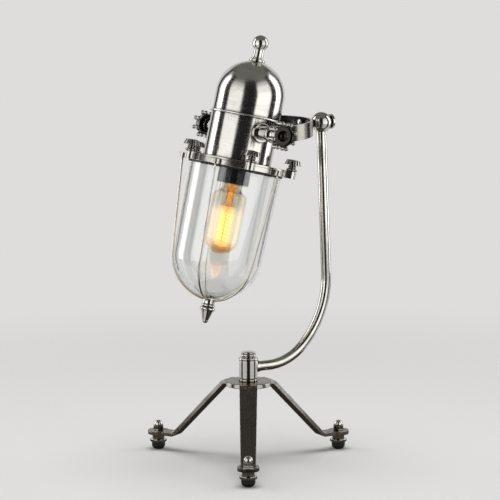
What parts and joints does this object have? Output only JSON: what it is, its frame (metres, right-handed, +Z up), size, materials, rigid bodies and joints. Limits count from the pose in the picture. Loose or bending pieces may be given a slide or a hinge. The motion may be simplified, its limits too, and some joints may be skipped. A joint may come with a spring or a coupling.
{
  "type": "tabletop searchlight lamp",
  "caption": "Tripod table lamp with a swivelling bent arm, a half-hoop yoke and a tilting searchlight head: metal cap, glass dome in a wire cage, and a bulb.",
  "frame": {"origin": "on the table, under the middle of the lamp's outline", "axes": "+Z up, +X from the post towards the arm, +Y towards the far handwheel"},
  "size_m": [0.258, 0.2722, 0.5627],
  "materials": {
    "nickel": "polished nickel plate",
    "steel": "brushed and lacquered",
    "rubber": "matt moulded",
    "clear_glass": "clear, polished",
    "amber_glass": "clear amber",
    "filament": "bright wire",
    "brass": "plain brass",
    "bakelite": "polished black"
  },
  "bodies": {
    "base": {"tripod_plate": "steel", "leg_1": "steel", "leg_2": "steel", "leg_3": "steel", "rubber_foot_1": "rubber", "rubber_foot_2": "rubber", "rubber_foot_3": "rubber", "foot_flanges": "nickel", "foot_spacers": "nickel", "foot_studs": "steel", "foot_acorn_nuts": "nickel", "post": "nickel", "post_collar": "nickel", "swivel_washer": "brass", "post_nut": "steel", "post_cap": "nickel"},
    "arm": {"swivel_sleeve": "nickel", "arm_tube": "steel", "arm_ball": "nickel"},
    "yoke": {"yoke_strap": "steel", "yoke_stem": "nickel", "yoke_bolt": "nickel", "yoke_cap_nut": "nickel"},
    "head": {"cap_barrel": "nickel", "cap_dome": "nickel", "cap_band": "nickel", "top_finial": "nickel", "support_nipple": "steel", "nipple_nut": "steel", "cap_flange": "nickel", "cage_ring": "nickel", "lip_gasket": "rubber", "glass_bezel": "rubber", "glass_dome": "clear_glass", "cage_wire_1": "steel", "cage_wire_2": "steel", "cage_wire_3": "steel", "cage_wire_4": "steel", "cage_wire_5": "steel", "cage_finial": "nickel", "bulb_holder": "bakelite", "bulb_base": "brass", "bulb_glass": "amber_glass", "bulb_stem": "amber_glass", "filament": "filament", "pivot_boss_near": "nickel", "pivot_boss_far": "nickel", "pivot_stud_near": "steel", "pivot_stud_far": "steel", "pivot_washer_near": "steel", "pivot_washer_far": "steel", "cable_gland": "nickel"},
    "wheel_near": {"handwheel_near": "nickel"},
    "wheel_far": {"handwheel_far": "nickel"},
    "screw_1": {"thumb_screw_1": "nickel"},
    "screw_2": {"thumb_screw_2": "nickel"},
    "screw_3": {"thumb_screw_3": "nickel"},
    "screw_4": {"thumb_screw_4": "nickel"},
    "screw_5": {"thumb_screw_5": "nickel"}
  },
  "joints": [
    {"name": "arm_swivel", "type": "hinge", "parent": "base", "child": "arm", "pos_m": [-0.0261, 0, 0.1263], "axis": [0, 0, 1], "continuous": true},
    {"name": "yoke_roll", "type": "hinge", "parent": "arm", "child": "yoke", "pos_m": [0.0854, 0, 0.44545], "axis": [0.9991, 0, 0.0427], "range_deg": [-90, 90]},
    {"name": "head_tilt", "type": "hinge", "parent": "yoke", "child": "head", "pos_m": [-0.03379, 0, 0.44035], "axis": [0, 1, 0], "range_deg": [-30, 40]},
    {"name": "wheel_near_turn", "type": "hinge", "parent": "head", "child": "wheel_near", "pos_m": [-0.03379, -0.099, 0.44035], "axis": [0, -1, 0], "continuous": true},
    {"name": "wheel_far_turn", "type": "hinge", "parent": "head", "child": "wheel_far", "pos_m": [-0.03379, 0.099, 0.44035], "axis": [0, 1, 0], "continuous": true},
    {"name": "screw_1_turn", "type": "hinge", "parent": "head", "child": "screw_1", "pos_m": [0.01354, 0.04433, 0.39341], "axis": [0.2267, 0, 0.974], "continuous": true},
    {"name": "screw_2_turn", "type": "hinge", "parent": "head", "child": "screw_2", "pos_m": [-0.06571, 0.06766, 0.41185], "axis": [0.2267, 0, 0.974], "continuous": true},
    {"name": "screw_3_turn", "type": "hinge", "parent": "head", "child": "screw_3", "pos_m": [-0.11181, -0.00251, 0.42257], "axis": [0.2267, 0, 0.974], "continuous": true},
    {"name": "screw_4_turn", "type": "hinge", "parent": "head", "child": "screw_4", "pos_m": [-0.06105, -0.06921, 0.41076], "axis": [0.2267, 0, 0.974], "continuous": true},
    {"name": "screw_5_turn", "type": "hinge", "parent": "head", "child": "screw_5", "pos_m": [0.01641, -0.04026, 0.39274], "axis": [0.2267, 0, 0.974], "continuous": true}
  ]
}
